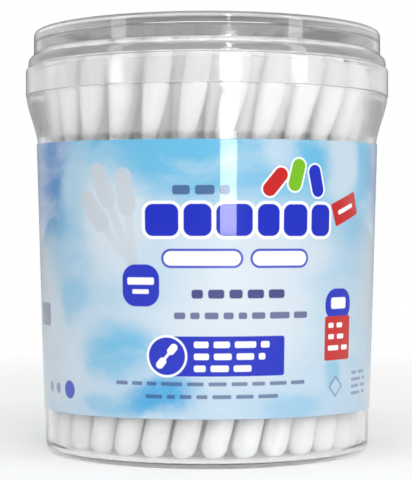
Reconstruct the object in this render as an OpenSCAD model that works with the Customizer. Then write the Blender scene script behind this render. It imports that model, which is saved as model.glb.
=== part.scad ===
// A round clear tub of cotton swabs: tapered tub, press-on stepped lid, wrap-round label.
// Millimetres. Z is up, the foot stands on z = 0 and the front faces -Y.
// The swabs stand on end in five rings, all leaning the same way round, so that
// their cotton heads fill the clear base and the clear lid.

/* [Swabs] */
// Length of a swab over both heads. The tub's height follows from it
swab_len = 77.6; // [70:0.2:80]
// Room between the swabs and the lid's top plate
head_room = 1.9; // [1.5:0.1:5]
// Largest diameter of a cotton head
head_d = 4.8; // [4.4:0.1:4.8]
// Length of a cotton head
head_len = 17.5; // [14:0.5:20]
// Diameter of the paper stick
stick_d = 2.4; // [2:0.1:2.6]
// How far most swabs lean round the axis, in degrees of the ring
twist_angle = 35; // [20:1:35]
// How much that lean changes round the outer ring, in degrees
// The swabs stand nearly upright on one side and lean most on the other
sway_angle = 22; // [0:1:22]
// Swabs in the outer ring
ring_1_count = 29; // [20:1:29]
// Swabs in the second ring
ring_2_count = 26; // [18:1:26]
// Swabs in the third ring
ring_3_count = 21; // [14:1:21]
// Swabs in the fourth ring
ring_4_count = 15; // [10:1:15]
// Swabs in the inner ring
ring_5_count = 9; // [5:1:9]

/* [Tub] */
// Outer radius of the wall just above the base corner
base_r = 32; // [31:0.1:33]
// How much the wall's radius grows up to the flare
wall_spread = 1.7; // [1.4:0.1:2]
// How much the flare adds to the radius, up to the flange
flare_out = 2.1; // [1.9:0.1:2.6]
// Height of the flare, from its start to the flange that the lid rests on
flare_h = 8.7; // [8:0.1:11]
// Wall thickness of the tub
tub_wall = 1.2; // [1:0.1:1.3]
// Height of the floor's upper face
floor_z = 1.1; // [0.9:0.1:1.6]
// Depth of the shallow recess under the floor
foot_recess = 0.3; // [0.2:0.1:0.5]
// Radius of the rounding at the base corner
base_round = 2.2; // [1.6:0.1:2.6]
// How far the neck inside the lid stays below the skirt's top
neck_drop = 0.5; // [0.2:0.1:1.5]

/* [Lid] */
// Height of the skirt, the widest part of the lid
skirt_h = 5.3; // [4.5:0.1:6]
// Height of the band between the skirt and the drum
band_h = 2.9; // [2.6:0.1:3.5]
// Height of the drum, the narrow top part
drum_h = 4.7; // [4.1:0.1:6]
// Radial step from the skirt in to the band above it
band_step = 0.5; // [0.3:0.1:0.5]
// Radial step from the band in to the drum
drum_step = 1.1; // [0.9:0.1:1.3]
// Wall thickness of the lid's skirt
skirt_wall = 1.1; // [0.9:0.1:1.3]
// Radial clearance between the neck and the skirt
neck_gap = 0.3; // [0.2:0.05:0.4]
// Thickness of the lid's top plate
plate_t = 1.1; // [0.8:0.1:1.3]
// Height of the stacking rim over the top plate
rim_h = 0.6; // [0.3:0.1:0.8]
// Radius of the rounding round the top edge
top_round = 1.2; // [0.8:0.1:1.4]

/* [Label] */
// Lower edge of the label
label_z0 = 8.4; // [6:0.1:12]
// How far the label's upper edge stays below the flare
label_gap = 0.5; // [0.4:0.1:6]
// Thickness of the printed film
film_t = 0.15; // [0.1:0.01:0.2]
// Width of the strip where the film overlaps itself at the back, in degrees
lap_angle = 8; // [4:1:14]

/* [Hidden] */
$fn = 96;

// Small roundings and gaps
edge = 0.3;
foot_w = 1.6;
glue = 0.03;
seat_gap = 0.1;
side_gap = 0.15;
overhang = 0.2;
flange_t = 0.5;
neck_wall = 1.1;
neck_root = 2;
floor_round = 1.3;
band_round = 1;
rim_w = 2;
flare_steps = 8;
round_steps = 4;
// Heights, from the swabs' tops up to the top plate and from there down to the flare
under_z = floor_z + seat_gap + swab_len + head_room;
plate_z = under_z + plate_t;
total_h = plate_z + rim_h;
drum_z = total_h - drum_h;
band_z = drum_z - band_round;
skirt_z = drum_z - band_h;
ledge_z = skirt_z - skirt_h;
neck_z = skirt_z - neck_drop;
flare_z = ledge_z - flare_h;
label_z1 = flare_z - label_gap;
// Radii, from the wall out to the skirt and from there in to the neck and the drum
wall_top_r = base_r + wall_spread;
flange_r = wall_top_r + flare_out;
skirt_r = flange_r + overhang;
skirt_in = skirt_r - skirt_wall;
neck_r = skirt_in - neck_gap;
band_r = skirt_r - band_step;
drum_r = band_r - drum_step;
drum_in = drum_r - skirt_wall;
// The taper's lower end, and how much the wall widens per millimetre of height
taper_z = base_round + edge;
taper = wall_spread / (flare_z - taper_z);
// A swab's head: the cap's length, where it is fullest, and how far the stick stops short
cap_len = 3.2;
full_len = 7;
tail_t = 0.3;
head_tail_r = stick_d / 2 + tail_t;
tip_cover = 1;
bore_gap = 0.03;
head_steps = 5;
// The rings, from the outer one inwards, and the room between neighbours in a ring
ring_gap = 0.35;
place_gap = 0.15;
lean_gap = 0.2;
top_spread_ratio = 1.07;
uneven = 0.1;
most_lean_at = 345;
sway_per_slack = 70;
wanted = [ring_1_count, ring_2_count, ring_3_count, ring_4_count, ring_5_count];
ring_0_r = base_r - tub_wall - head_d / 2 - side_gap;
ring_pitch = head_d + ring_gap;

// Outer radius of the tapered wall at height z
function wall_r(z) = base_r + (z - taper_z) * taper;

// Eased step from 0 to 1, half straight and half smooth, for the flare
function eased(t) = 0.5 * t + 0.5 * t * t * (3 - 2 * t);

// Foot radius of ring i, and how many swabs it holds
function foot_r(i) = ring_0_r - i * ring_pitch;
function capacity(i) = floor(180 / asin((head_d + place_gap) / (2 * foot_r(i))));
function count(i) = min(wanted[i], capacity(i));

// The share of each place in ring i that its head leaves free sets how much it can sway
function slack(i) = 1 - (head_d + lean_gap) / (2 * foot_r(i) * sin(180 / count(i)));
function ring_sway(i) = min(sway_angle, max(0, sway_per_slack * slack(i)));
function lean_wave(a) = cos(a - most_lean_at);

// Foot and head angles of swab k in ring i: the wave opens the lean at one side
function place_a(i, k) = 360 * k / count(i) + 23 * i;
function foot_a(i, k) = place_a(i, k) - 0.45 * ring_sway(i) * lean_wave(place_a(i, k));
function head_a(i, k) = place_a(i, k) + twist_angle + 0.55 * ring_sway(i) * lean_wave(place_a(i, k));
function head_r(i, k) = foot_r(i) * top_spread_ratio + uneven * sin(137 * k + 71 * i);

// The foot point, and the sideways reach from it to the head's tip
function foot_at(i, k) = [
    foot_r(i) * cos(foot_a(i, k)),
    foot_r(i) * sin(foot_a(i, k)),
    floor_z + seat_gap
];
function reach(i, k) = [
    head_r(i, k) * cos(head_a(i, k)) - foot_r(i) * cos(foot_a(i, k)),
    head_r(i, k) * sin(head_a(i, k)) - foot_r(i) * sin(foot_a(i, k))
];

// Tapered tub with a rounded base corner, a flare to the flange and an inner neck
module tub() {
    outer_corner = [
        for (s = [0:round_steps])
            let (a = 90 * s / round_steps)
            [
                wall_r(base_round) - base_round * 0.7 * (1 - sin(a)),
                base_round * (1 - cos(a))
            ]
    ];
    outer_flare = [
        for (s = [0:flare_steps])
            let (t = s / flare_steps)
            [
                wall_top_r + flare_out * eased(t),
                flare_z + (flare_h - flange_t) * t
            ]
    ];
    floor_in = wall_r(floor_z) - tub_wall - floor_round;
    foot_in = wall_r(base_round) - base_round * 0.7 - foot_w;
    neck_in = neck_r - neck_wall;
    color([0.9, 0.93, 0.95, 0.4])
        rotate_extrude()
            polygon(concat(
                [[0, foot_recess], [foot_in - foot_recess, foot_recess], [foot_in, 0]],
                outer_corner,
                outer_flare,
                [
                    [flange_r, ledge_z],
                    [neck_r, ledge_z],
                    [neck_r, neck_z - edge],
                    [neck_r - edge, neck_z],
                    [neck_in + edge, neck_z],
                    [neck_in, neck_z - edge],
                    [neck_in - 0.05, ledge_z - neck_root],
                    [wall_top_r - tub_wall, flare_z],
                    [wall_r(floor_z + floor_round) - tub_wall, floor_z + floor_round],
                    [floor_in + floor_round * 0.75, floor_z + floor_round * 0.3],
                    [floor_in, floor_z],
                    [0, floor_z]
                ]
            ));
}

// Stepped lid: wide skirt, narrower band, drum and a top plate inside a stacking rim
module lid() {
    top_corner = [
        for (s = [0:round_steps])
            let (a = 90 * s / round_steps)
            [
                drum_r - top_round * (1 - cos(a)),
                total_h - top_round * (1 - sin(a))
            ]
    ];
    rim_in = drum_r - top_round - rim_w;
    color([0.93, 0.95, 0.97, 0.4])
        rotate_extrude()
            polygon(concat(
                [
                    [0, plate_z],
                    [0, under_z],
                    [drum_in - 0.9, under_z],
                    [drum_in - 0.25, under_z - 0.25],
                    [drum_in, under_z - 0.9],
                    [drum_in, band_z + 0.1],
                    [skirt_in, skirt_z + edge],
                    [skirt_in, ledge_z + edge],
                    [skirt_in + edge, ledge_z],
                    [skirt_r - edge, ledge_z],
                    [skirt_r, ledge_z + edge],
                    [skirt_r, skirt_z - 0.2],
                    [skirt_r - 0.15, skirt_z + 0.1],
                    [band_r, skirt_z + 0.35],
                    [band_r, band_z - 0.4],
                    [band_r - 0.2, band_z + 0.15],
                    [band_r - 0.6, band_z + 0.65],
                    [drum_r + 0.05, drum_z]
                ],
                top_corner,
                [[rim_in, total_h], [rim_in - rim_h, plate_z]]
            ));
}

// A thin printed film round the tapered wall, lapped over itself at the back
module label() {
    color([0.55, 0.78, 0.93]) {
        rotate_extrude()
            film_section(glue);
        rotate([0, 0, 90 - lap_angle / 2])
            rotate_extrude(angle = lap_angle)
                film_section(glue + film_t * 0.99);
    }
}

// Cross-section of the film, at a distance off the wall
module film_section(off) {
    polygon([
        [wall_r(label_z0) + off, label_z0],
        [wall_r(label_z0) + off + film_t, label_z0],
        [wall_r(label_z1) + off + film_t, label_z1],
        [wall_r(label_z1) + off, label_z1]
    ]);
}

// Puts its children at the foot of swab k in ring i, with +Z along the swab
module along_swab(i, k) {
    go = reach(i, k);
    translate(foot_at(i, k))
        rotate([0, asin(norm(go) / swab_len), atan2(go[1], go[0])])
            children();
}

// A cotton head with its tip at the origin, wound round the end of a stick
module cotton_head() {
    cap = [
        for (s = [1:head_steps])
            let (a = 90 * s / head_steps)
            [head_d / 2 * sin(a), cap_len * (1 - cos(a))]
    ];
    tail = [
        for (s = [0:head_steps])
            let (t = s / head_steps)
            [
                head_tail_r + (head_d / 2 - head_tail_r) * (1 - t * t * (3 - 2 * t)),
                full_len + (head_len - full_len) * t
            ]
    ];
    bore_r = stick_d / 2 + bore_gap;
    rotate_extrude($fn = 48)
        polygon(concat(
            [[0, 0]],
            cap,
            tail,
            [[bore_r, head_len], [bore_r, tip_cover], [0, tip_cover]]
        ));
}

// One ring of paper sticks
module sticks(i) {
    color([0.96, 0.96, 0.93])
        for (k = [0:count(i) - 1])
            along_swab(i, k)
                translate([0, 0, tip_cover + seat_gap])
                    cylinder(d = stick_d, h = swab_len - 2 * (tip_cover + seat_gap), $fn = 32);
}

// One ring of lower cotton heads
module bottom_heads(i) {
    color([1, 1, 1])
        for (k = [0:count(i) - 1])
            along_swab(i, k)
                cotton_head();
}

// One ring of upper cotton heads
module top_heads(i) {
    color([1, 1, 1])
        for (k = [0:count(i) - 1])
            along_swab(i, k)
                translate([0, 0, swab_len])
                    mirror([0, 0, 1])
                        cotton_head();
}

tub();
lid();
label();
sticks(0);  // swab_sticks_ring_1
sticks(1);  // swab_sticks_ring_2
sticks(2);  // swab_sticks_ring_3
sticks(3);  // swab_sticks_ring_4
sticks(4);  // swab_sticks_ring_5
top_heads(0);  // swab_top_heads_ring_1
top_heads(1);  // swab_top_heads_ring_2
top_heads(2);  // swab_top_heads_ring_3
top_heads(3);  // swab_top_heads_ring_4
top_heads(4);  // swab_top_heads_ring_5
bottom_heads(0);  // swab_bottom_heads_ring_1
bottom_heads(1);  // swab_bottom_heads_ring_2
bottom_heads(2);  // swab_bottom_heads_ring_3
bottom_heads(3);  // swab_bottom_heads_ring_4
bottom_heads(4);  // swab_bottom_heads_ring_5
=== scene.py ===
# %% [markdown]
# A clear tub of cotton swabs
#
# The real thing is a glass-clear plastic tub with a press-on lid and a printed film round it. White
# cotton heads fill the clear base and the clear lid. The frame already holds every piece at its
# real size and place, so this script only dresses it: it models the two mouldings, the film and
# the cotton heads afresh, and keeps the frame's own paper sticks.

import math
import random

import bmesh
import bpy
from mathutils import Matrix, Vector


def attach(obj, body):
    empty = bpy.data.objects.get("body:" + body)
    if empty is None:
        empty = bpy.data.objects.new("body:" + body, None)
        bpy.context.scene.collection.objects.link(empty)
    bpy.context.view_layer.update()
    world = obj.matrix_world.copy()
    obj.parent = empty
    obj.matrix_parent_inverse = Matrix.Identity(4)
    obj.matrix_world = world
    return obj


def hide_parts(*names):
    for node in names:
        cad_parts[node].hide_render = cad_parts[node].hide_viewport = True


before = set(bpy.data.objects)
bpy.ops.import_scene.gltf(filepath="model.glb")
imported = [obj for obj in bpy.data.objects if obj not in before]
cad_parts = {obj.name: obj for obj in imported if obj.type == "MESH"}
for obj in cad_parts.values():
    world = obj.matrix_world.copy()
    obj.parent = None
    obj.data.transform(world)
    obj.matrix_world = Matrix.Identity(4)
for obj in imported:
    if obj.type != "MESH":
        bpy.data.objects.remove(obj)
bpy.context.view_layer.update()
scene = bpy.context.scene
MM = 0.001

# %% [markdown]
# Node helpers
#
# Every finish is a small shader tree. It could be wired by hand in the editor, but in code it can
# be read, repeated and changed in one place. The helpers add a node and fill its sockets, with a
# short form for each kind that is used often: a sum, a vector sum, a change of range, a mix of two
# colours and a bump. Print colours are noted as the eye sees them, from 0 to 255, and are turned
# into the linear values of light.


# %% Node helpers
def linear(r, g, b):
    def one(v):
        v /= 255
        return v / 12.92 if v <= 0.04045 else ((v + 0.055) / 1.055) ** 2.4

    return (one(r), one(g), one(b), 1.0)


def add(tree, kind, values=None, **settings):
    node = tree.nodes.new(kind)
    for name, value in settings.items():
        setattr(node, name, value)
    for socket, value in (values or {}).items():
        if hasattr(value, "is_output"):
            tree.links.new(value, node.inputs[socket])
        else:
            node.inputs[socket].default_value = value
    return node


def calc(tree, operation, a, b=0.0, c=0.0):
    return add(tree, "ShaderNodeMath", {0: a, 1: b, 2: c}, operation=operation).outputs[0]


def vector_calc(tree, operation, a, b=(0.0, 0.0, 0.0)):
    node = add(tree, "ShaderNodeVectorMath", {0: a, 1: b}, operation=operation)
    return node.outputs["Value" if operation == "LENGTH" else "Vector"]


def ranged(tree, value, low, high, to_low=0.0, to_high=1.0, ease="LINEAR"):
    limits = {"From Min": low, "From Max": high, "To Min": to_low, "To Max": to_high}
    node = add(tree, "ShaderNodeMapRange", {"Value": value, **limits}, interpolation_type=ease)
    return node.outputs[0]


def mixed(tree, factor, a, b):
    node = add(tree, "ShaderNodeMix", {"Factor": factor, "A": a, "B": b}, data_type="RGBA")
    return node.outputs["Result"]


def bumped(tree, height, strength, depth_mm):
    values = {"Height": height, "Strength": strength, "Distance": depth_mm * MM}
    return add(tree, "ShaderNodeBump", values).outputs[0]


def object_place(tree):
    return add(tree, "ShaderNodeTexCoord").outputs["Object"]


print("paper white in linear light:", linear(244, 246, 248))


# %% Groups and materials
def new_group(name, inputs, outputs):
    group = bpy.data.node_groups.new(name, "ShaderNodeTree")
    for label, kind, value in inputs:
        socket = group.interface.new_socket(label, in_out="INPUT", socket_type="NodeSocket" + kind)
        if value is not None:
            socket.default_value = value
    for label, kind in outputs:
        group.interface.new_socket(label, in_out="OUTPUT", socket_type="NodeSocket" + kind)
    return group, add(group, "NodeGroupInput"), add(group, "NodeGroupOutput")


def new_material(name):
    material = bpy.data.materials.new(name)
    material.use_nodes = True
    tree = material.node_tree
    tree.nodes.clear()
    print("material", name)
    return material, tree, add(tree, "ShaderNodeOutputMaterial")


print("helpers for groups and materials ready")

# %% [markdown]
# Small unevenness
#
# No moulding, film or paper is perfectly even, and a finish without any unevenness looks false. A
# picture texture could carry it, but it would need a file and a seam. One node group gives a slow
# and a fine cloudiness from the piece's own coordinates instead, in millimetres, and each finish
# takes as much of it as it needs.

# %% The unevenness group
uneven, uneven_in, uneven_out = new_group(
    "uneven_surface",
    [("Slow size mm", "Float", 12.0), ("Fine size mm", "Float", 0.8), ("Stretch", "Float", 1.0)],
    [("Slow", "Float"), ("Fine", "Float")],
)
upright = add(uneven, "ShaderNodeCombineXYZ", {"X": 1.0, "Y": 1.0, "Z": uneven_in.outputs["Stretch"]})
place = vector_calc(uneven, "MULTIPLY", object_place(uneven), upright.outputs[0])
for label in ("Slow", "Fine"):
    scale = calc(uneven, "DIVIDE", 1 / MM, uneven_in.outputs[label + " size mm"])
    cloud = add(uneven, "ShaderNodeTexNoise", {"Vector": place, "Scale": scale, "Detail": 3.0})
    uneven.links.new(cloud.outputs[0], uneven_out.inputs[label])


def unevenness(tree, slow_mm, fine_mm, stretch=1.0):
    sizes = {"Slow size mm": slow_mm, "Fine size mm": fine_mm, "Stretch": stretch}
    group = add(tree, "ShaderNodeGroup", sizes, node_tree=uneven)
    return group.outputs["Slow"], group.outputs["Fine"]


print("group", uneven.name)

# %% [markdown]
# Clear plastic
#
# The tub and lid are clear polystyrene: hard, glossy and strongly refracting. A thin see-through
# film would be quicker to render, but real refraction through a wall of real thickness gives the
# bright steps and dark lines at the shoulders. A path tracer finds a small lamp through such a wall
# only by luck, so the rays that look for lamps meet a plain see-through film instead.
#
# Five grades share one function. The lid is a little cloudier than the tub, and the tub's thick foot
# and flare are hazy. The lid's upright drum wall is tinted a smoky grey, as it looks in the
# photograph: painted shade, for the moulding is as clear there as in the rest of the lid.


# %% Clear plastic
POLYSTYRENE_IOR = 1.59


def clear_plastic(name, colour, film, clarity, roughness):
    material, tree, out = new_material(name)
    slow, fine = unevenness(tree, 14.0, 2.5)
    denser = tuple(c * 0.97 for c in colour)
    glass = add(
        tree,
        "ShaderNodeBsdfPrincipled",
        {
            "Base Color": mixed(tree, fine, (*colour, 1.0), (*denser, 1.0)),
            "Roughness": ranged(tree, slow, 0.0, 1.0, roughness * 0.6, roughness * 1.4),
            "Normal": bumped(tree, slow, 0.12, 0.6),
            "Transmission Weight": clarity,
            "IOR": POLYSTYRENE_IOR,
        },
    )
    clear = add(tree, "ShaderNodeBsdfTransparent", {"Color": (film, film, film, 1.0)})
    to_lamp = add(tree, "ShaderNodeLightPath").outputs["Is Shadow Ray"]
    mix = add(tree, "ShaderNodeMixShader", {0: to_lamp, 1: glass.outputs[0], 2: clear.outputs[0]})
    tree.links.new(mix.outputs[0], out.inputs["Surface"])
    return material


tub_plastic = clear_plastic(
    "clear_plastic_tub", (0.97, 0.975, 0.98), film=0.975, clarity=0.94, roughness=0.05
)
lid_plastic = clear_plastic(
    "clear_plastic_lid", (0.95, 0.955, 0.965), film=0.96, clarity=0.88, roughness=0.08
)
# painted shade: a grey tint on the drum wall, where the clear lid looks dark
drum_plastic_painted_shade = clear_plastic(
    "clear_plastic_drum_painted_shade", (0.73, 0.735, 0.745), film=0.96, clarity=0.96, roughness=0.04
)
foot_plastic = clear_plastic(
    "clear_plastic_foot", (0.95, 0.955, 0.96), film=0.975, clarity=0.7, roughness=0.15
)
flare_plastic = clear_plastic(
    "clear_plastic_flare", (0.96, 0.965, 0.97), film=0.975, clarity=0.8, roughness=0.14
)

# %% [markdown]
# Turned shapes
#
# The tub, the lid and the film are bodies of revolution. They could be stacked from cylinders, but
# a mould is turned on a lathe, and a spun profile keeps each moulding one closed wall. The profile
# is a list of corners, each a radius, a height and a rounding in millimetres. Two guard points
# beside each rounding keep the long flat stretches flat in the shading.


# %% Turned shapes
ROUNDING_STEPS, GUARD, SPIN_STEPS = 4, 0.12, 144
MOST_OF_SIDE = 0.45


def rounded(corners):
    points = []
    for i, (r, z, rounding) in enumerate(corners):
        here = Vector((r, z))
        if rounding <= 0:
            points.append(here)
            continue
        before = Vector(corners[i - 1][:2]) - here
        after = Vector(corners[(i + 1) % len(corners)][:2]) - here
        reach_in = min(rounding, before.length * MOST_OF_SIDE)
        reach_out = min(rounding, after.length * MOST_OF_SIDE)
        start = here + before.normalized() * reach_in
        end = here + after.normalized() * reach_out
        if before.length > reach_in * 2 + GUARD * 2:
            points.append(start + before.normalized() * GUARD)
        for s in range(ROUNDING_STEPS + 1):
            t = s / ROUNDING_STEPS
            points.append(start * (1 - t) ** 2 + here * 2 * t * (1 - t) + end * t * t)
        if after.length > reach_out * 2 + GUARD * 2:
            points.append(end + after.normalized() * GUARD)
    return points


def spin_profile(bm, points, closed=True, steps=SPIN_STEPS, start=0.0, sweep=math.tau):
    turn = Matrix.Rotation(start, 3, "Z")
    verts = [bm.verts.new(turn @ Vector((p[0] * MM, 0.0, p[1] * MM))) for p in points]
    edges = [bm.edges.new(pair) for pair in zip(verts, verts[1:])]
    if closed:
        edges.append(bm.edges.new((verts[-1], verts[0])))
    bmesh.ops.spin(
        bm,
        geom=verts + edges,
        cent=(0, 0, 0),
        axis=(0, 0, 1),
        angle=sweep,
        steps=steps,
        use_merge=math.isclose(sweep, math.tau),
    )
    bmesh.ops.remove_doubles(bm, verts=bm.verts, dist=1e-7)
    bmesh.ops.dissolve_degenerate(bm, edges=bm.edges, dist=1e-8)


print("a full turn takes", SPIN_STEPS, "steps and a rounding", ROUNDING_STEPS)


# %% Finished pieces
def finish_piece(name, bm, material, body, slot, *nodes):
    bmesh.ops.recalc_face_normals(bm, faces=bm.faces)
    for face in bm.faces:
        face.smooth = True
    mesh = bpy.data.meshes.new(name)
    bm.to_mesh(mesh)
    bm.free()
    mesh.materials.append(material)
    piece = bpy.data.objects.new(name, mesh)
    scene.collection.objects.link(piece)
    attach(piece, body)
    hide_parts(*nodes)
    print(name, len(mesh.polygons), "faces")
    return piece


def repaint(piece, material, low_z, high_z, beyond_r=-1.0):
    piece.data.materials.append(material)
    slot = len(piece.data.materials) - 1
    for face in piece.data.polygons:
        in_band = low_z * MM < face.center.z < high_z * MM
        if in_band and face.center.xy.length > beyond_r * MM:
            face.material_index = slot
    count = sum(face.material_index == slot for face in piece.data.polygons)
    print(count, "faces of", piece.name, "take", material.name)


print("helpers for finished pieces ready")

# %% [markdown]
# The tub
#
# One moulding: a foot ring round a shallow recess, a rounded base corner, a wall that widens
# upwards, a flare to the flange and the neck that the lid goes over. The flare is half a straight
# slope and half an S-curve, which gives it soft ends. The tub could be a single skin, but it is a
# closed solid with a real inner wall, because the doubled reflections of the wall's two faces are
# what make it look clear. The foot's lowest faces and the flare's outer faces take the two hazy
# grades of the plastic.

# %% The tub's wall
BASE_R, WALL_TOP_R, FLANGE_R = 32.0, 33.7, 35.8
TAPER_Z, FLARE_Z, LEDGE_Z, FLANGE_T = 2.5, 60.8, 69.5, 0.5
TAPER = (WALL_TOP_R - BASE_R) / (FLARE_Z - TAPER_Z)
FLARE_STEPS = 14


def wall_r(z):
    return BASE_R + (z - TAPER_Z) * TAPER


def eased(t):
    return 0.5 * t + 0.5 * t * t * (3 - 2 * t)


def flare_point(s):
    r = WALL_TOP_R + (FLANGE_R - WALL_TOP_R) * eased(s / FLARE_STEPS)
    return (r, FLARE_Z + (LEDGE_Z - FLANGE_T - FLARE_Z) * s / FLARE_STEPS, 0)


print("the wall widens by", round(TAPER, 4), "mm a millimetre, from", BASE_R, "to", WALL_TOP_R)

# %% The tub
FLOOR_T, RECESS_Z, WALL_T, CURVE_Z = 1.1, 0.3, 1.2, 67.5
RECESS_R, RING_R, FOOT_R = 28.5, 28.9, 31.93
NECK_R, NECK_IN_R, THROAT_R, NECK_TOP_Z = 34.6, 33.5, 33.45, 74.3
FOOT_HAZE_Z, FLARE_HAZE_Z, FLARE_HAZE_R = 1.0, 69.2, 33.6

tub_corners = [
    (0, RECESS_Z, 0),
    (RECESS_R, RECESS_Z, 0.3),
    (RING_R, 0.0, 0.2),
    (FOOT_R, 0.0, 1.6),
    (WALL_TOP_R, FLARE_Z, 1.5),
    *[flare_point(s) for s in range(1, FLARE_STEPS)],
    (FLANGE_R, LEDGE_Z - FLANGE_T, 0.3),
    (FLANGE_R, LEDGE_Z, 0.15),
    (NECK_R, LEDGE_Z, 0.15),
    (NECK_R, NECK_TOP_Z, 0.35),
    (NECK_IN_R, NECK_TOP_Z, 0.35),
    (THROAT_R, CURVE_Z, 2.0),
    (wall_r(FLARE_Z) - WALL_T, FLARE_Z, 4.0),
    (wall_r(FLOOR_T) - WALL_T, FLOOR_T, 1.3),
    (0, FLOOR_T, 0),
]
bm = bmesh.new()
spin_profile(bm, rounded(tub_corners), closed=False)
tub = finish_piece("tub_moulding", bm, tub_plastic, "tub", "clear_tub", "tub")
repaint(tub, foot_plastic, -FOOT_HAZE_Z, FOOT_HAZE_Z)
repaint(tub, flare_plastic, FLARE_Z, FLARE_HAZE_Z, FLARE_HAZE_R)

# %% [markdown]
# The lid
#
# A second moulding in three steps: the skirt stands on the flange, a narrower band sits above a
# small ledge, and the drum rises to a top plate inside a low stacking rim. It is spun like the tub.
# The drum's upright wall takes the grey plastic of painted shade, and the plate over it stays
# clear, so that the swabs show from above.

# %% The lid
SKIRT_R, BAND_R, DRUM_R, RIM_IN_R = 36.0, 35.5, 34.4, 31.2
SKIRT_IN_R, DRUM_IN_R, PLATE_R = 34.9, 33.3, 30.6
TOP_Z, PLATE_Z, PLATE_UNDER_Z = 82.4, 81.8, 80.7
DRUM_FOOT_Z, BAND_TOP_Z, BAND_FOOT_Z, SKIRT_TOP_Z = 77.7, 76.75, 75.15, 74.8
SKIRT_IN_TOP_Z, DRUM_IN_FOOT_Z = 75.1, 76.8
DRUM_WALL_LOW_Z, DRUM_WALL_HIGH_Z = 77.4, 80.5

lid_corners = [
    (0, PLATE_Z, 0),
    (PLATE_R, PLATE_Z, 0.4),
    (RIM_IN_R, TOP_Z, 0.4),
    (DRUM_R, TOP_Z, 1.0),
    (DRUM_R + 0.02, DRUM_FOOT_Z, 0.3),
    (BAND_R, BAND_TOP_Z, 0.7),
    (BAND_R, BAND_FOOT_Z, 0.15),
    (SKIRT_R, SKIRT_TOP_Z, 0.25),
    (SKIRT_R, LEDGE_Z, 0.25),
    (SKIRT_IN_R, LEDGE_Z, 0.25),
    (SKIRT_IN_R, SKIRT_IN_TOP_Z, 0.4),
    (DRUM_IN_R, DRUM_IN_FOOT_Z, 0.6),
    (DRUM_IN_R, PLATE_UNDER_Z, 0.8),
    (0, PLATE_UNDER_Z, 0),
]
bm = bmesh.new()
spin_profile(bm, rounded(lid_corners), closed=False)
lid = finish_piece("lid_moulding", bm, lid_plastic, "lid", "clear_lid", "lid")
# the drum wall takes the grey tint of painted shade
repaint(lid, drum_plastic_painted_shade, DRUM_WALL_LOW_Z, DRUM_WALL_HIGH_Z)

# %% [markdown]
# Where the swabs stand
#
# The frame's paper sticks already say where each swab stands and how it leans. Working the places
# out again could go wrong, so they are read from the frame. Each stick is a loose island of its
# node's mesh, and its two ends are the means of its low and its high points. That keeps every
# cotton head on its own stick.


# %% Where the swabs stand
def stick_ends(node):
    bm = bmesh.new()
    bm.from_mesh(node.data)
    bmesh.ops.remove_doubles(bm, verts=bm.verts, dist=1e-6)
    seen, ends = set(), []
    for first in bm.verts:
        if first in seen:
            continue
        island, todo = [], [first]
        seen.add(first)
        while todo:
            vert = todo.pop()
            island.append(vert.co.copy())
            for edge in vert.link_edges:
                other = edge.other_vert(vert)
                if other not in seen:
                    seen.add(other)
                    todo.append(other)
        middle = sum(co.z for co in island) / len(island)
        halves = [co for co in island if co.z < middle], [co for co in island if co.z >= middle]
        ends.append([sum(half, Vector()) / len(half) for half in halves])
    bm.free()
    return sorted(ends, key=lambda pair: math.atan2(pair[0].y, pair[0].x))


RINGS = range(1, 6)
rings = {ring: stick_ends(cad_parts[f"swab_sticks_ring_{ring}"]) for ring in RINGS}
print("swabs in each ring:", {ring: len(ends) for ring, ends in rings.items()})

# %% [markdown]
# Cotton
#
# The heads are wound cotton: matt, nearly white and slightly hairy. Real hair would cost far more
# than it shows at this size. Soft bumps a few tenths of a millimetre across stand for the wound
# fibres, and a little sheen gives the pale outline of the loose ones.

# %% Cotton
cotton, tree, out = new_material("wound_cotton")
slow, fine = unevenness(tree, 2.6, 0.35, stretch=0.5)
shade = calc(tree, "MULTIPLY_ADD", slow, 0.6, calc(tree, "MULTIPLY", fine, 0.4))
fibre = add(
    tree,
    "ShaderNodeBsdfPrincipled",
    {
        "Base Color": mixed(
            tree, ranged(tree, shade, 0.3, 0.7), (0.91, 0.91, 0.9, 1.0), (0.97, 0.97, 0.965, 1.0)
        ),
        "Roughness": 0.95,
        "Sheen Weight": 0.3,
        "Sheen Roughness": 0.6,
        "Specular IOR Level": 0.2,
        "Normal": bumped(tree, shade, 0.5, 0.4),
    },
)
tree.links.new(fibre.outputs[0], out.inputs["Surface"])

# %% [markdown]
# The cotton heads
#
# One head is a short spin: a round tip, a full belly and a tail that closes on the stick. There
# are two hundred, so each has only about a hundred faces. Copies of one mesh would all look alike,
# so a seeded draw turns and swells each a little, because wound cotton is never twice the same.

# %% One cotton head
HEAD_R, HEAD_LEN, CAP_LEN, TIP_COVER = 2.4, 17.5, 3.2, 1.1
TAIL_R, STICK_R, TAIL_STEP, HEAD_SIDES = 1.45, 1.2, 0.15, 12
CAP_ANGLES = [math.radians(degrees) for degrees in (25, 50, 75)]

head_profile = [(0.0, 0.0)]
head_profile += [(HEAD_R * math.sin(a), CAP_LEN * (1 - math.cos(a))) for a in CAP_ANGLES]
head_profile += [(HEAD_R, 5.0), (HEAD_R * 0.985, 8.0), (2.12, 11.5), (1.7, 15.0)]
head_profile += [(TAIL_R, HEAD_LEN), (STICK_R, HEAD_LEN + TAIL_STEP)]

bm = bmesh.new()
spin_profile(bm, head_profile, closed=False, steps=HEAD_SIDES)
head_mesh = bpy.data.meshes.new("cotton_head")
bm.to_mesh(head_mesh)
bm.free()
print("faces in one head:", len(head_mesh.polygons))

# %% All the cotton heads
draw = random.Random(7)
THINNEST, THICKEST = -0.03, 0.04
OVAL = (0.97, 1.03)


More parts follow.
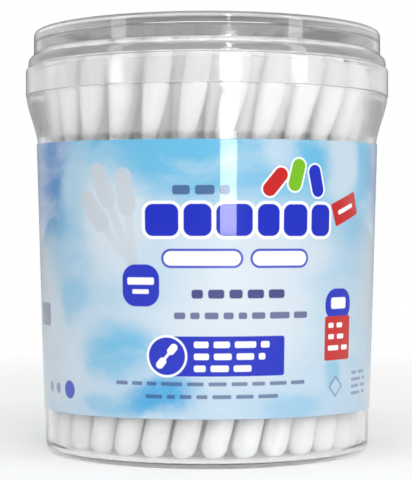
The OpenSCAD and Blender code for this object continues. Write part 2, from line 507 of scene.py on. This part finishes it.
def place_head(bm, tip, inward):
    swell = 1 + draw.uniform(THINNEST, THICKEST)
    turn = Matrix.Rotation(draw.uniform(0, math.tau), 4, "Z")
    size = Matrix.Diagonal((swell, swell * draw.uniform(*OVAL), 1, 1))
    aim = Vector((0, 0, 1)).rotation_difference(inward).to_matrix().to_4x4()
    one = head_mesh.copy()
    one.transform(Matrix.Translation(tip) @ aim @ size @ turn)
    bm.from_mesh(one)
    bpy.data.meshes.remove(one)


for ring, ends in rings.items():
    for which in ("top", "bottom"):
        bm = bmesh.new()
        for low, high in ends:
            along = (high - low).normalized()
            if which == "top":
                place_head(bm, high + along * TIP_COVER * MM, -along)
            else:
                place_head(bm, low - along * TIP_COVER * MM, along)
        node = f"swab_{which}_heads_ring_{ring}"
        finish_piece(f"cotton_{which}_ring_{ring}", bm, cotton, "tub", "cotton", node)
bpy.data.meshes.remove(head_mesh)

# %% [markdown]
# The paper sticks
#
# A rolled paper stick is a plain cylinder. It could be spun afresh, but the frame's own sticks are
# that cylinder already, so they stay. They only need the finish of tightly rolled white paper: two
# close tones and a very shallow grain, both drawn out along the stick.

# %% The paper sticks
paper, tree, out = new_material("rolled_paper")
_, fine = unevenness(tree, 4.0, 0.3, stretch=0.4)
sheet = add(
    tree,
    "ShaderNodeBsdfPrincipled",
    {
        "Base Color": mixed(tree, fine, (0.8, 0.79, 0.77, 1.0), (0.9, 0.9, 0.88, 1.0)),
        "Roughness": 0.6,
        "Normal": bumped(tree, fine, 0.2, 0.1),
    },
)
tree.links.new(sheet.outputs[0], out.inputs["Surface"])
for ring in RINGS:
    stick_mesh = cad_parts[f"swab_sticks_ring_{ring}"].data
    stick_mesh.materials.clear()
    stick_mesh.materials.append(paper)
print("sticks in rolled paper:", sum(len(ends) for ends in rings.values()))

# %% [markdown]
# The printed film
#
# The film wraps all the way round, so its print is laid out on the unrolled wall: one axis is the
# distance round from the front in millimetres, the other the height. A picture could be wrapped
# round instead, but drawn shapes stay sharp at any size and can be moved by a number. Two groups
# draw everything. A blot is a soft round spot, for the sky, and a bar is a turned rectangle with
# rounded corners, for everything crisp. Both give a mask.

# %% The unrolled wall
MEAN_WALL_R = 33.0

unroll, _, unroll_out = new_group("unrolled_wall", [], [("Height mm", "Float"), ("Place", "Vector")])
parts = add(unroll, "ShaderNodeSeparateXYZ", {0: object_place(unroll)})
towards_front = calc(unroll, "MULTIPLY", parts.outputs["Y"], -1.0)
angle = calc(unroll, "ARCTAN2", parts.outputs["X"], towards_front)
round_mm = calc(unroll, "MULTIPLY", angle, MEAN_WALL_R)
height_mm = calc(unroll, "MULTIPLY", parts.outputs["Z"], 1 / MM)
both = add(unroll, "ShaderNodeCombineXYZ", {"X": round_mm, "Y": height_mm})
unroll.links.new(height_mm, unroll_out.inputs["Height mm"])
unroll.links.new(both.outputs[0], unroll_out.inputs["Place"])
print("half way round the wall:", round(math.pi * MEAN_WALL_R, 1), "mm")

# %% Soft blots
blot, blot_in, blot_out = new_group(
    "soft_blot",
    [
        ("Place", "Vector", None),
        ("Centre", "Vector", None),
        ("Size", "Vector", None),
        ("Strength", "Float", 1.0),
    ],
    [("Mask", "Float")],
)
away = vector_calc(blot, "SUBTRACT", blot_in.outputs["Place"], blot_in.outputs["Centre"])
away = vector_calc(blot, "DIVIDE", away, blot_in.outputs["Size"])
distance = vector_calc(blot, "LENGTH", away)
fade = ranged(blot, distance, 0.25, 1.0, 1.0, 0.0, ease="SMOOTHERSTEP")
blot.links.new(calc(blot, "MULTIPLY", fade, blot_in.outputs["Strength"]), blot_out.inputs["Mask"])
print("group", blot.name)

# %% Crisp bars
bar, bar_in, bar_out = new_group(
    "rounded_bar",
    [
        ("Place", "Vector", None),
        ("Centre", "Vector", None),
        ("Half size", "Vector", None),
        ("Corner", "Float", 0.5),
        ("Turn", "Float", 0.0),
        ("Edge", "Float", 0.08),
    ],
    [("Mask", "Float")],
)
away = vector_calc(bar, "SUBTRACT", bar_in.outputs["Place"], bar_in.outputs["Centre"])
turned = add(
    bar,
    "ShaderNodeVectorRotate",
    {"Vector": away, "Angle": bar_in.outputs["Turn"]},
    rotation_type="Z_AXIS",
)
folded = vector_calc(bar, "ABSOLUTE", turned.outputs[0])
corner = add(bar, "ShaderNodeCombineXYZ", {"X": bar_in.outputs["Corner"], "Y": bar_in.outputs["Corner"]})
inner = vector_calc(bar, "SUBTRACT", bar_in.outputs["Half size"], corner.outputs[0])
out_by = vector_calc(bar, "MAXIMUM", vector_calc(bar, "SUBTRACT", folded, inner))
gap = calc(bar, "SUBTRACT", vector_calc(bar, "LENGTH", out_by), bar_in.outputs["Corner"])
inside_edge = calc(bar, "MULTIPLY", bar_in.outputs["Edge"], -1.0)
mask = ranged(bar, gap, inside_edge, bar_in.outputs["Edge"], 1.0, 0.0)
bar.links.new(mask, bar_out.inputs["Mask"])
print("group", bar.name)

# %% [markdown]
# The sky
#
# The ground of the print is a blue sky with white cloud: deeper blue at the top and at the sides,
# fading to nearly white low down, with pale and blue patches. Noise alone would put the clouds
# anywhere, so a short list of blots lays them out in front, and slow noise breaks their edges.
# Faint streaks over them carry the same sky round the back.

# %% The sky's ground
WHITE, PALE = linear(206, 215, 222), linear(176, 201, 219)
PAPER_WHITE, GHOST = linear(244, 246, 248), linear(190, 197, 204)
SKY, CYAN, DEEP = linear(98, 176, 212), linear(62, 158, 208), linear(16, 110, 178)
ROYAL, NAVY = linear(6, 34, 180), linear(24, 38, 114)
RED, GREEN = linear(190, 26, 22), linear(112, 180, 22)
RAGGED_MM = 9.0
SKY_LOW_Z, SKY_HIGH_Z = 26.0, 58.0

film, tree, out = new_material("printed_film")
wall = add(tree, "ShaderNodeGroup", node_tree=unroll)
broken = add(
    tree,
    "ShaderNodeTexNoise",
    {"Vector": object_place(tree), "Scale": 70.0, "Detail": 4.0, "Roughness": 0.55},
)
shift = vector_calc(tree, "SUBTRACT", broken.outputs["Color"], (0.5, 0.5, 0.5))
shift = vector_calc(tree, "MULTIPLY", shift, (RAGGED_MM, RAGGED_MM, 0.0))
sky_place = vector_calc(tree, "ADD", wall.outputs["Place"], shift)
lift = ranged(tree, wall.outputs["Height mm"], SKY_LOW_Z, SKY_HIGH_Z, ease="SMOOTHSTEP")
ground = mixed(tree, lift, PALE, SKY)
print("sky from", SKY_LOW_Z, "to", SKY_HIGH_Z, "mm")


# %% Clouds and patches
def blot_on(below, u, z, wide, high, colour, strength):
    spot = add(
        tree,
        "ShaderNodeGroup",
        {"Place": sky_place, "Centre": (u, z, 0.0), "Size": (wide, high, 1.0), "Strength": strength},
        node_tree=blot,
    )
    return mixed(tree, spot.outputs[0], below, colour)


# each: distance round from the front, height, half width, half height, colour, strength
SKY_BLOTS = [
    (-38.0, 55.0, 15.0, 18.0, DEEP, 0.95),
    (46.0, 54.0, 13.0, 16.0, DEEP, 0.8),
    (-44.0, 31.0, 17.0, 17.0, WHITE, 0.75),
    (43.0, 33.0, 14.0, 20.0, WHITE, 0.7),
    (-25.0, 50.0, 9.0, 12.0, PALE, 0.8),
    (-17.5, 45.0, 10.0, 17.0, WHITE, 0.85),
    (14.0, 58.0, 5.5, 8.0, PALE, 0.9),
    (27.5, 56.0, 7.5, 14.0, WHITE, 0.75),
    (7.0, 40.0, 30.0, 13.0, WHITE, 0.85),
    (6.0, 26.0, 26.0, 16.0, WHITE, 0.9),
    (-34.0, 18.0, 16.0, 16.0, WHITE, 0.45),
    (32.0, 20.0, 18.0, 22.0, PALE, 0.6),
    (-17.0, 21.0, 11.0, 6.5, SKY, 0.9),
    (-9.0, 12.5, 12.0, 4.5, CYAN, 0.95),
    (-20.0, 12.0, 6.0, 3.0, SKY, 0.5),
    (17.0, 11.5, 9.0, 4.0, SKY, 0.4),
    (27.0, 17.0, 4.0, 5.0, SKY, 0.8),
    (-28.0, 31.0, 7.0, 7.0, SKY, 0.5),
    (85.0, 30.0, 26.0, 20.0, WHITE, 0.8),
    (-80.0, 36.0, 24.0, 18.0, WHITE, 0.7),
]
for blot_row in SKY_BLOTS:
    ground = blot_on(ground, *blot_row)
print("sky blots:", len(SKY_BLOTS))

# %% Streaks
streak_place = vector_calc(tree, "MULTIPLY", sky_place, (0.05, 0.14, 0.0))
streaks = add(
    tree,
    "ShaderNodeTexNoise",
    {"Vector": streak_place, "Scale": 1.0, "Detail": 6.0, "Roughness": 0.6},
)
wisps = ranged(tree, streaks.outputs[0], 0.45, 0.7, to_high=0.45)
ground = mixed(tree, wisps, ground, WHITE)
print("nodes in the sky:", len(tree.nodes))

# %% [markdown]
# The printed shapes
#
# The graphics are a plain design for this label: pale swabs on a cloud, a row of royal-blue blocks
# with pale edges, three coloured drops over it, two outlined pills, a banner with a round badge, a
# ribbon and a two-coloured tag. Rows of dashes give it its fine scale. Each shape is one bar or a
# few, and each is laid over what is below it, as inks are.


# %% Helpers for the printed shapes
def bar_on(below, u, z, half_w, half_h, colour, corner=None, turn=0.0, strength=1.0):
    corner = min(half_w, half_h) if corner is None else corner
    shape = add(
        tree,
        "ShaderNodeGroup",
        {
            "Place": wall.outputs["Place"],
            "Centre": (u, z, 0.0),
            "Half size": (half_w, half_h, 0.0),
            "Corner": corner,
            "Turn": math.radians(turn),
        },
        node_tree=bar,
    )
    mask = shape.outputs[0]
    if strength < 1:
        mask = calc(tree, "MULTIPLY", mask, strength)
    return mixed(tree, mask, below, colour)


DASH_SHORTEST, DASH_LONGEST, DASH_GAP, DASH_LEAST, DASH_ROUNDING = 1.4, 4.2, 0.9, 1.0, 0.3


def dashes_on(below, u0, u1, z, high, colour, seed, strength=1.0):
    u = u0
    corner = high * DASH_ROUNDING
    lengths = random.Random(seed)
    while u < u1 - DASH_LEAST:
        dash = min(lengths.uniform(DASH_SHORTEST, DASH_LONGEST), u1 - u)
        middle = u + dash / 2
        below = bar_on(below, middle, z, dash / 2, high / 2, colour, corner, 0.0, strength)
        u += dash + DASH_GAP
    return below


STEM_HALF_W, BUD_HALF_W, BUD_HALF_H, BUD_BACK = 0.8, 1.8, 4.4, 3.2


def swab_on(below, u, z, turn, length, colour):
    across, up = math.sin(math.radians(turn)), math.cos(math.radians(turn))
    half, reach = length / 2, length - BUD_BACK
    stem_u, stem_z = u + half * across, z + half * up
    below = bar_on(below, stem_u, stem_z, STEM_HALF_W, half, colour, None, turn, 0.5)
    bud_u, bud_z = u + reach * across, z + reach * up
    return bar_on(below, bud_u, bud_z, BUD_HALF_W, BUD_HALF_H, colour, None, turn, 0.8)


print("print helpers ready")


# %% Pale swabs, blocks and drops
FAN_U, FAN_Z = -13.2, 36.0
FAN = ((-40.0, 17.0), (-24.0, 20.0), (-8.0, 17.5))
art = ground
for turn, length in FAN:
    art = swab_on(art, FAN_U, FAN_Z, turn, length, GHOST)
art = dashes_on(art, -6.2, 4.0, 50.4, 1.7, NAVY, 5, 0.75)

BLOCKS_Z, BLOCK_HALF, BLOCK_CORNER, BLOCK_EDGE = 45.0, 2.9, 1.5, 0.55
BLOCKS = ((-8.2, 3.1), (-1.7, 2.5), (4.9, 3.3), (11.2, 2.1), (16.6, 2.5), (22.2, 2.2))
for edge, colour in ((BLOCK_EDGE, PAPER_WHITE), (0.0, ROYAL)):
    for u, half in BLOCKS:
        art = bar_on(art, u, BLOCKS_Z, half + edge, BLOCK_HALF + edge, colour, BLOCK_CORNER + edge)

DROPS = ((12.4, 51.9, 40.0, RED), (16.7, 53.2, 14.0, GREEN), (21.0, 52.2, -14.0, ROYAL))
DROP_HALF_W, DROP_HALF_H, DROP_EDGE = 1.35, 3.0, 0.3
for u, z, turn, colour in DROPS:
    edged = DROP_HALF_W + DROP_EDGE, DROP_HALF_H + DROP_EDGE
    art = bar_on(art, u, z, *edged, PAPER_WHITE, None, turn)
    art = bar_on(art, u, z, DROP_HALF_W, DROP_HALF_H, colour, None, turn)
print("blocks:", len(BLOCKS), "drops:", len(DROPS))

# %% Outlined pills and two rows of dashes
PILLS_Z, PILL_HALF, PILL_LINE = 38.1, 1.75, 0.45
for u, half in ((-0.9, 7.4), (13.6, 5.8)):
    art = bar_on(art, u, PILLS_Z, half, PILL_HALF, ROYAL, None, 0.0, 0.9)
    art = bar_on(art, u, PILLS_Z, half - PILL_LINE, PILL_HALF - PILL_LINE, PAPER_WHITE)
art = dashes_on(art, -2.8, 14.8, 31.7, 1.6, NAVY, 3, 0.95)
art = dashes_on(art, -6.0, 19.4, 27.8, 1.2, NAVY, 4, 0.8)
print("nodes so far:", len(tree.nodes))

# %% Banner with a round badge
BANNER_U, BANNER_Z, BADGE_U, BADGE_R, BADGE_RIM, ICON_TURN = 3.0, 20.5, -7.4, 3.4, 0.4, 40.0
art = bar_on(art, BANNER_U, BANNER_Z, 11.6, 3.6, ROYAL, 0.5)
art = bar_on(art, BADGE_U, BANNER_Z, BADGE_R + BADGE_RIM, BADGE_R + BADGE_RIM, PAPER_WHITE)
art = bar_on(art, BADGE_U, BANNER_Z, BADGE_R, BADGE_R, ROYAL)
art = bar_on(art, BADGE_U, BANNER_Z, 0.25, 2.2, PAPER_WHITE, None, ICON_TURN)
for side in (-1, 1):
    u, z = BADGE_U + side * 1.05, BANNER_Z + side * 1.25
    art = bar_on(art, u, z, 0.7, 1.1, PAPER_WHITE, None, ICON_TURN)
for n, seed in enumerate((11, 12, 13)):
    art = dashes_on(art, -2.4, 11.6 - 0.8 * n, 22.6 - 2.15 * n, 1.15, PAPER_WHITE, seed)
print("nodes so far:", len(tree.nodes))

# %% Badge at the left, ribbon and tag at the right
LEFT_BADGE_U = -12.3
art = bar_on(art, LEFT_BADGE_U, 33.2, 3.6, 3.8, ROYAL, 2.6)
art = bar_on(art, LEFT_BADGE_U, 34.0, 2.6, 0.65, PAPER_WHITE, 0.3)
art = bar_on(art, LEFT_BADGE_U, 32.1, 1.6, 0.4, PAPER_WHITE, 0.2)

RIBBON_U, RIBBON_Z, RIBBON_TURN = 29.0, 47.2, -20.0
art = bar_on(art, RIBBON_U, RIBBON_Z, 3.7, 2.2, RED, 0.4, RIBBON_TURN)
art = bar_on(art, RIBBON_U, RIBBON_Z, 2.3, 0.4, PAPER_WHITE, None, RIBBON_TURN)

TAG_U, TAG_HALF = 27.6, 3.75
art = bar_on(art, TAG_U, 29.4, TAG_HALF, 3.0, ROYAL, 2.8)
art = bar_on(art, TAG_U, 23.2, TAG_HALF, 4.1, RED, 0.4)
art = bar_on(art, TAG_U, 29.7, 2.2, 1.05, PAPER_WHITE, 0.5)
for n, seed in enumerate((31, 32, 33)):
    art = dashes_on(art, 24.8, 30.6, 25.6 - 2.1 * n, 0.9, PAPER_WHITE, seed)
print("nodes so far:", len(tree.nodes))

# %% Dashes and small marks along the foot
art = dashes_on(art, -17.6, 19.6, 15.5, 0.7, NAVY, 41, 0.7)
art = dashes_on(art, -11.5, 14.5, 13.2, 0.7, NAVY, 42, 0.7)
DOTS_Z, DIAMOND_U, DIAMOND_Z = 13.4, 27.2, 14.2
for u in (-38.0, -34.6):
    art = bar_on(art, u, DOTS_Z, 1.0, 1.0, NAVY, None, 0.0, 0.55)
art = bar_on(art, -30.2, DOTS_Z, 1.7, 1.7, ROYAL, None, 0.0, 0.9)
art = bar_on(art, -41.0, 27.2, 3.4, 2.2, NAVY, 0.8, 0.0, 0.6)
art = bar_on(art, DIAMOND_U, DIAMOND_Z, 1.5, 1.5, NAVY, 0.4, 45.0, 0.45)
art = bar_on(art, DIAMOND_U, DIAMOND_Z, 1.1, 1.1, PALE, 0.2, 45.0)
for n, seed in enumerate((51, 52, 53, 54)):
    art = dashes_on(art, 32.6, 39.4, 16.4 - 1.3 * n, 0.6, NAVY, seed, 0.5)
print("nodes in the print:", len(tree.nodes))

# %% [markdown]
# The film's gloss
#
# It is thin glossy plastic film with the print under it. One layer would be either dull or smooth
# all through. A dull print under a smooth clear coat keeps the colours deep and the reflections
# sharp. The film lies tight, so it has no folds, only a faint waviness that breaks up the long
# reflections.

# %% The film's gloss
slow, _ = unevenness(tree, 22.0, 0.6, stretch=0.5)
gloss = add(
    tree,
    "ShaderNodeBsdfPrincipled",
    {
        "Base Color": art,
        "Roughness": ranged(tree, slow, 0.0, 1.0, 0.25, 0.35),
        "Normal": bumped(tree, slow, 0.06, 0.5),
        "Specular IOR Level": 0.1,
        "Coat Weight": 0.85,
        "Coat Roughness": 0.04,
    },
)
tree.links.new(gloss.outputs[0], out.inputs["Surface"])
print("nodes in the film:", len(tree.nodes))

# %% [markdown]
# The wrapped film
#
# The film is a closed band round the tapered wall, spun from a thin section, with a short second
# layer at the back where it laps over itself. A row of guard points just inside its edges keeps the
# wall's shading flat, because smooth shading would otherwise turn the normals over the whole
# height. Its edges sag a fraction of a millimetre at the front, as they do in the photograph.

# %% The wrapped film
LABEL_Z0, LABEL_Z1, EDGE_GUARD, LABEL_MIDDLE_Z = 8.4, 60.3, 0.1, 30.0
GLUE, FILM_T, LAP_DEGREES = 0.03, 0.15, 8.0
TOP_SAG, FOOT_SAG = -0.8, 0.75


def film_section(off):
    rows = (LABEL_Z0, LABEL_Z0 + EDGE_GUARD, LABEL_Z1 - EDGE_GUARD, LABEL_Z1)
    inner = [(wall_r(z) + off, z) for z in rows]
    return inner + [(wall_r(z) + off + FILM_T, z) for z in reversed(rows)]


bm = bmesh.new()
spin_profile(bm, film_section(GLUE))
lap = bmesh.new()
start = math.radians(90 - LAP_DEGREES / 2)
spin_profile(lap, film_section(GLUE + FILM_T), steps=6, start=start, sweep=math.radians(LAP_DEGREES))
bmesh.ops.holes_fill(lap, edges=[e for e in lap.edges if e.is_boundary], sides=0)
lap_mesh = bpy.data.meshes.new("film_lap")
lap.to_mesh(lap_mesh)
lap.free()
bm.from_mesh(lap_mesh)
bpy.data.meshes.remove(lap_mesh)
for vert in bm.verts:
    front = max(0.0, -vert.co.y / math.hypot(vert.co.x, vert.co.y))
    vert.co.z += (TOP_SAG if vert.co.z > LABEL_MIDDLE_Z * MM else FOOT_SAG) * front * MM
finish_piece("wrapped_film", bm, film, "tub", "printed_film", "label")

# %% [markdown]
# The floor
#
# A pale floor runs out to a white background. A curved backdrop would do too, but a plane that
# fades to white has no bend to place. Near the tub it is painted, so it takes the shadow. Further
# out it shines its own white back at the camera, so that it meets the background without a line.
# Through the clear plastic it shines its own white as well, even in the tub's shadow: painted light.

# %% The floor
FLOOR_HALF_M = 4.0

floor_white, tree, out = new_material("pale_floor")
rays = add(tree, "ShaderNodeLightPath")
spot = object_place(tree)
distance = vector_calc(tree, "LENGTH", spot)
grain = add(tree, "ShaderNodeTexNoise", {"Vector": spot, "Scale": 60.0, "Detail": 2.0})
tone = mixed(tree, grain.outputs[0], (0.88, 0.88, 0.88, 1.0), (0.93, 0.93, 0.93, 1.0))
outwards = ranged(tree, distance, 0.08, 0.35, ease="SMOOTHSTEP")
tone = mixed(tree, outwards, tone, (0.8, 0.8, 0.8, 1.0))
paint = add(tree, "ShaderNodeBsdfDiffuse", {"Color": tone})
glow = add(tree, "ShaderNodeEmission", {"Color": (1.0, 1.0, 1.0, 1.0), "Strength": 1.0})
far = ranged(tree, distance, 0.04, 0.3, 0.35, 1.0, ease="SMOOTHSTEP")
seen = calc(tree, "MULTIPLY", rays.outputs["Is Camera Ray"], far)
# painted light: rays through the clear plastic see the floor glow, so the shadow under the tub does not
# darken the base
through = calc(tree, "MULTIPLY", rays.outputs["Is Transmission Ray"], 0.7)
share = calc(tree, "MAXIMUM", seen, through)
mix = add(tree, "ShaderNodeMixShader", {0: share, 1: paint.outputs[0], 2: glow.outputs[0]})
tree.links.new(mix.outputs[0], out.inputs["Surface"])

bm = bmesh.new()
bmesh.ops.create_grid(bm, x_segments=1, y_segments=1, size=FLOOR_HALF_M)
floor_mesh = bpy.data.meshes.new("floor")
bm.to_mesh(floor_mesh)
bm.free()
floor_mesh.materials.append(floor_white)
floor = bpy.data.objects.new("floor", floor_mesh)
scene.collection.objects.link(floor)
print("floor:", 2 * FLOOR_HALF_M, "m square")

# %% [markdown]
# The background
#
# The camera sees plain white. Everything else sees a simple room: pale up to just above the
# horizon, dim overhead, and bright at the sides behind the tub. A plain white world would be
# simpler, but clear plastic shows only what is round it, so it needs light and dark to bend into
# the lines that draw its shape. Mirrored, the room is dimmer still, so that the lamps stand out.
# Matt surfaces get at least an even half of white from all round.

# %% The background
LOW_LEVEL, HIGH_LEVEL, SIDE_LEVEL, MATT_LEVEL, GLOSS_CUT = 0.8, 0.2, 0.95, 0.52, 0.4

world = bpy.data.worlds.new("white_room")
world.use_nodes = True
scene.world = world
tree = world.node_tree
tree.nodes.clear()
rays = add(tree, "ShaderNodeLightPath")
towards = add(tree, "ShaderNodeTexCoord").outputs["Generated"]
aim = add(tree, "ShaderNodeSeparateXYZ", {0: towards})
room = ranged(tree, aim.outputs["Z"], 0.03, 0.14, LOW_LEVEL, HIGH_LEVEL, ease="SMOOTHSTEP")
dimmed = calc(tree, "MULTIPLY_ADD", rays.outputs["Is Glossy Ray"], -GLOSS_CUT, 1.0)
level = calc(tree, "MULTIPLY", room, dimmed)
sideways = calc(tree, "ABSOLUTE", aim.outputs["X"])
aside = ranged(tree, sideways, 0.15, 0.55, 0.0, SIDE_LEVEL)
behind = ranged(tree, aim.outputs["Y"], 0.0, 0.3)
surround = calc(tree, "MULTIPLY", aside, behind)
not_matt = calc(tree, "SUBTRACT", 1.0, rays.outputs["Is Diffuse Ray"])
surround = calc(tree, "MULTIPLY", surround, not_matt)
level = calc(tree, "MAXIMUM", level, surround)
level = calc(tree, "MAXIMUM", level, rays.outputs["Is Camera Ray"])
matt = calc(tree, "MULTIPLY", rays.outputs["Is Diffuse Ray"], MATT_LEVEL)
level = calc(tree, "MAXIMUM", level, matt)
sky = add(tree, "ShaderNodeBackground", {"Color": (1.0, 1.0, 1.0, 1.0), "Strength": level})
add(tree, "ShaderNodeOutputWorld", {"Surface": sky.outputs[0]})
print("world", world.name)

# %% [markdown]
# The lamps
#
# Soft boxes, as round a product on a table. Two upright strips high at the sides light the edges. A
# narrow upright strip right of the camera draws the fine bright line on the lid, and a wider
# box low under it draws the tall white reflection down the front. A broad box overhead and one
# high in front fill the rest. A brightness is multiplied by the area of the box's face, so that a
# box can change its size and still look as bright in a reflection.


# %% The lamps
AIM_Z = 0.045


def soft_box(name, azimuth, distance, height, wide, high, brightness):
    lamp = bpy.data.lights.new(name, "AREA")
    lamp.shape = "RECTANGLE"
    lamp.size, lamp.size_y = wide, high
    lamp.energy = brightness * math.pi * wide * high
    box = bpy.data.objects.new(name, lamp)
    a = math.radians(azimuth)
    box.location = (distance * math.sin(a), -distance * math.cos(a), height)
    box.rotation_euler = (Vector((0, 0, AIM_Z)) - box.location).to_track_quat("-Z", "Y").to_euler()
    scene.collection.objects.link(box)
    print(name, "of", round(lamp.energy, 3), "W")


# name, angle round from the camera, distance, height, width and height of its face, brightness
soft_box("strip_left", -57.0, 0.5, 0.28, 0.1, 0.4, 2.4)
soft_box("strip_right", 57.0, 0.5, 0.28, 0.1, 0.4, 3.2)
soft_box("strip_front", 13.5, 0.6, 0.32, 0.03, 0.32, 13.0)
soft_box("low_front", 13.5, 0.6, 0.08, 0.11, 0.14, 12.0)
soft_box("overhead", 0.0, 0.2, 0.65, 0.6, 0.5, 1.65)
soft_box("front_high", 0.0, 0.55, 0.5, 0.7, 0.35, 0.9)

# %% [markdown]
# The camera
#
# The photograph was taken level, from about 31 cm away and 41 mm above the table: its horizon
# runs through the middle of the picture, and one millimetre at the tub's axis is five pixels. A
# longer lens from further off would show less of the lid's underside, so the lens is worked out
# from that distance and that scale.

# %% The camera
DISTANCE, EYE_Z, ASIDE, PIXELS_PER_MM, LONG_SIDE = 0.315, 0.0414, -0.0002, 5.0, 480
SENSOR = 36.0
camera_data = bpy.data.cameras.new("camera")
camera_data.sensor_width = SENSOR
camera_data.lens = SENSOR * DISTANCE / MM * PIXELS_PER_MM / LONG_SIDE
camera = bpy.data.objects.new("camera", camera_data)
camera.location = (ASIDE, -DISTANCE, EYE_Z)
camera.rotation_euler = (math.radians(90), 0, 0)
scene.collection.objects.link(camera)
scene.camera = camera
scene.view_settings.view_transform = "Standard"
print("lens:", round(camera_data.lens, 1), "mm")
